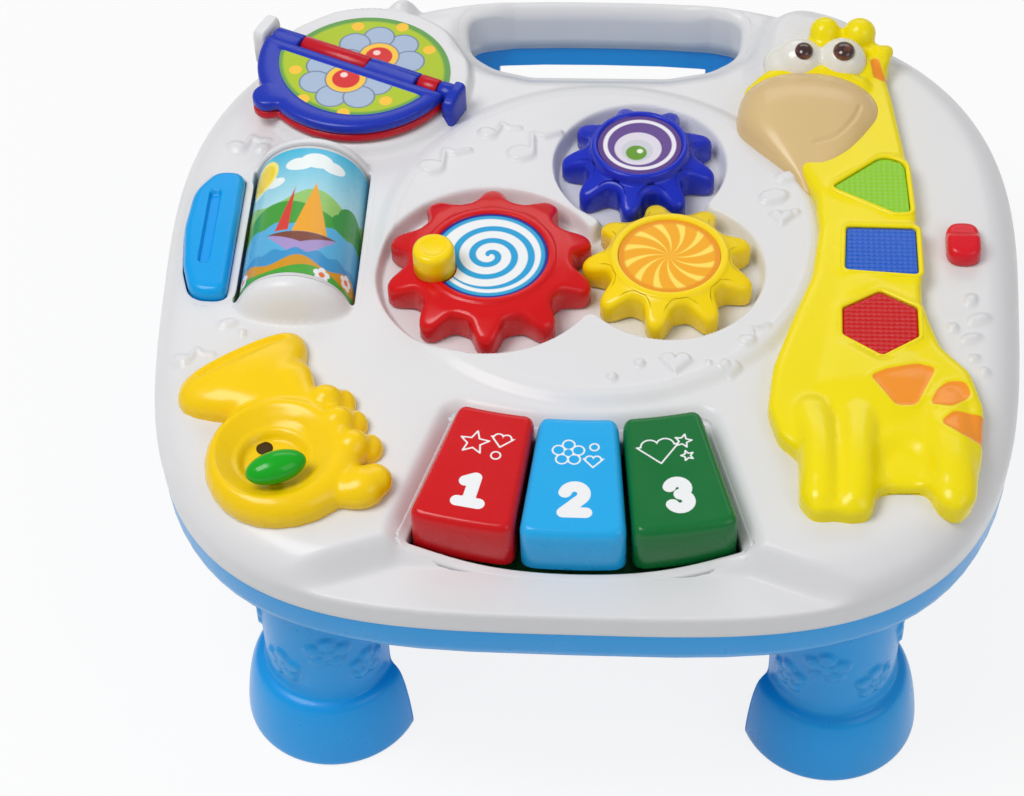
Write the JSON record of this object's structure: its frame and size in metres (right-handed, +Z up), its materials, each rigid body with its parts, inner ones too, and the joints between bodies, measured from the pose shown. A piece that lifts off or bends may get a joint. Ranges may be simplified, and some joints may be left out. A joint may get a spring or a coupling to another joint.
{
  "type": "children's play table",
  "caption": "Low moulded activity table on short legs, with meshing toy gears, piano keys, a roller, a flip book, a toy horn and a giraffe with lamps.",
  "frame": {"origin": "on the floor, under the middle of the table", "axes": "+X to the giraffe's side, +Y to the carry handle, +Z up"},
  "size_m": [0.3314, 0.32, 0.1591],
  "materials": {
    "white_shell": "moulded white plastic, soft gloss",
    "sky_plastic": "moulded light blue plastic, soft gloss",
    "yellow_plastic": "moulded yellow plastic, gloss",
    "red_plastic": "moulded red plastic, gloss",
    "navy_plastic": "moulded dark blue plastic, gloss",
    "green_plastic": "moulded dark green plastic, gloss",
    "lime_plastic": "moulded bright green plastic, gloss",
    "tan_plastic": "moulded tan plastic, gloss",
    "brown_plastic": "glossy dark brown plastic",
    "printed_label": "printed plastic film",
    "lens_green": "translucent green plastic with a fine grid",
    "lens_blue": "translucent blue plastic with a fine grid",
    "lens_red": "translucent red plastic with a fine grid",
    "steel": "plain steel",
    "circuit_board": "green circuit board",
    "black_plastic": "black plastic",
    "rubber": "grey silicone rubber",
    "cell_wrap": "plain cell wrapper",
    "lamp": "clear lamp body"
  },
  "bodies": {
    "table": {"top_shell": "white_shell", "base_tray": "sky_plastic", "leg_front_left": "sky_plastic", "leg_front_right": "sky_plastic", "leg_rear_left": "sky_plastic", "leg_rear_right": "sky_plastic", "drum_axle": "steel", "key_rods": "steel", "key_dome_red": "rubber", "key_dome_blue": "rubber", "key_dome_green": "rubber", "circuit_board": "circuit_board", "sound_chip": "black_plastic", "board_screws": "steel", "paddle_dome": "rubber", "paddle_board": "circuit_board", "power_switch": "steel", "book_base_picture": "printed_label", "book_pin": "steel", "book_post": "navy_plastic", "horn_body": "yellow_plastic", "horn_lever_pin": "steel", "giraffe_body": "yellow_plastic", "lens_green": "lens_green", "lens_blue": "lens_blue", "lens_red": "lens_red", "giraffe_muzzle": "tan_plastic", "giraffe_eye_whites": "white_shell", "giraffe_eyes": "brown_plastic", "lamp_board": "circuit_board", "lamps": "lamp", "speaker": "black_plastic", "battery_cells": "cell_wrap", "battery_contacts": "steel", "battery_cover": "sky_plastic", "battery_cover_screw": "steel", "case_screws": "steel"},
    "red_gear": {"gear_red": "red_plastic", "gear_red_label": "printed_label", "gear_red_knob": "yellow_plastic", "gear_red_screw": "steel"},
    "yellow_gear": {"gear_yellow": "yellow_plastic", "gear_yellow_label": "printed_label", "gear_yellow_screw": "steel"},
    "blue_gear": {"gear_blue": "navy_plastic", "gear_blue_label": "printed_label", "gear_blue_screw": "steel"},
    "drum": {"drum_roller": "white_shell", "drum_sleeve": "printed_label"},
    "red_key": {"key_red": "red_plastic"},
    "blue_key": {"key_blue": "sky_plastic"},
    "green_key": {"key_green": "green_plastic"},
    "paddle": {"paddle_button": "sky_plastic"},
    "switch_knob": {"power_knob": "red_plastic"},
    "red_page": {"page_red": "red_plastic", "page_red_picture": "printed_label"},
    "blue_page": {"page_blue": "navy_plastic", "page_blue_picture": "printed_label"},
    "lever": {"horn_lever": "lime_plastic"}
  },
  "joints": [
    {"name": "red_gear_spin", "type": "hinge", "parent": "table", "child": "red_gear", "pos_m": [-0.0372, -0.006, 0.135], "axis": [0, 0, 1], "continuous": true},
    {"name": "yellow_gear_spin", "type": "hinge", "parent": "table", "child": "yellow_gear", "pos_m": [0.03108, -0.00421, 0.135], "axis": [0, 0, 1], "continuous": true},
    {"name": "blue_gear_spin", "type": "hinge", "parent": "table", "child": "blue_gear", "pos_m": [0.01829, 0.05298, 0.135], "axis": [0, 0, 1], "continuous": true},
    {"name": "drum_spin", "type": "hinge", "parent": "table", "child": "drum", "pos_m": [-0.111, 0.0112, 0.128], "axis": [0, 1, 0], "continuous": true},
    {"name": "red_key_press", "type": "hinge", "parent": "table", "child": "red_key", "pos_m": [-0.02804, -0.07337, 0.1225], "axis": [0.9826, -0.1857, 0], "range_deg": [0, 4], "stiffness_Nm_per_rad": 0.6, "deforming": ["key_dome_red"]},
    {"name": "blue_key_press", "type": "hinge", "parent": "table", "child": "blue_key", "pos_m": [0, -0.076, 0.1225], "axis": [1, 0, 0], "range_deg": [0, 4], "stiffness_Nm_per_rad": 0.6, "deforming": ["key_dome_blue"]},
    {"name": "green_key_press", "type": "hinge", "parent": "table", "child": "green_key", "pos_m": [0.02804, -0.07337, 0.1225], "axis": [0.9826, 0.1857, 0], "range_deg": [0, 4], "stiffness_Nm_per_rad": 0.6, "deforming": ["key_dome_green"]},
    {"name": "paddle_press", "type": "slide", "parent": "table", "child": "paddle", "axis": [0, 0, -1], "range_m": [0, 0.003], "stiffness_N_per_m": 300, "deforming": ["paddle_dome"]},
    {"name": "switch_slide", "type": "slide", "parent": "table", "child": "switch_knob", "axis": [0, -1, 0], "range_m": [0, 0.006]},
    {"name": "red_page_flip", "type": "hinge", "parent": "table", "child": "red_page", "pos_m": [-0.095, 0.1, 0.1447], "axis": [-0.9135, 0.4067, 0], "range_deg": [0, 180]},
    {"name": "blue_page_flip", "type": "hinge", "parent": "red_page", "child": "blue_page", "pos_m": [-0.095, 0.1, 0.1447], "axis": [-0.9135, 0.4067, 0], "range_deg": [0, 180]},
    {"name": "lever_rock", "type": "hinge", "parent": "table", "child": "lever", "pos_m": [-0.10576, -0.11432, 0.125], "axis": [-0.829, -0.5592, 0], "range_deg": [0, 22]}
  ],
  "couplings": [
    {"joint": "yellow_gear_spin", "follows": "red_gear_spin", "ratio": -1.1111},
    {"joint": "blue_gear_spin", "follows": "red_gear_spin", "ratio": 1.1111}
  ]
}
